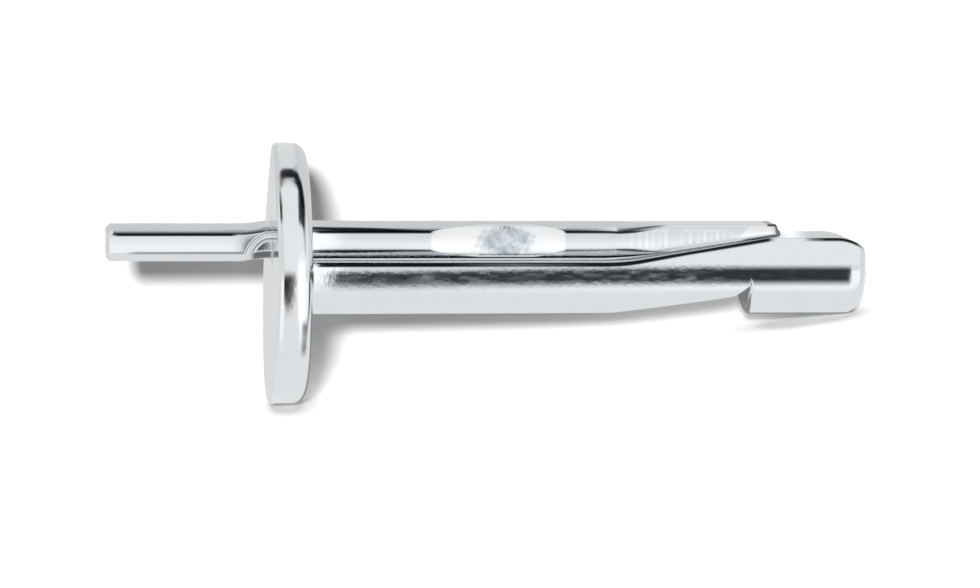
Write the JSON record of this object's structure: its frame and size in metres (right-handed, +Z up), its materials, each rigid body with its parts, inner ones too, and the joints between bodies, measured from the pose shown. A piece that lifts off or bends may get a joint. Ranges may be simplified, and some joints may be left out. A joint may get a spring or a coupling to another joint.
{
  "type": "wedge anchor",
  "caption": "Hammer-set ceiling wedge anchor: round-headed D-section body with a ramp and notch, and a flat-sided expansion pin through the head.",
  "frame": {"origin": "centre of the footprint on the surface that the anchor lies on", "axes": "+Z up; +X from the struck end of the pin towards the tip block; the anchor is the same on both sides of Y = 0. Its own axis dips 8.938 degrees from +X, because it rests on the rim of its head and the end of its tip block"},
  "size_m": [0.0476, 0.0164, 0.0164],
  "materials": {
    "zinc_plated_body": "bright zinc plating, faintly blue, lightly mottled by cold forming",
    "zinc_plated_pin": "bright zinc plating, smooth drawn wire"
  },
  "bodies": {
    "anchor": {"anchor_body": "zinc_plated_body"},
    "pin": {"expansion_pin": "zinc_plated_pin"}
  },
  "joints": [
    {"name": "pin_drive", "type": "hinge", "parent": "anchor", "child": "pin", "pos_m": [0.01121, 0, 0.19387], "axis": [0, -1, 0], "range_deg": [0, 3.22]}
  ]
}
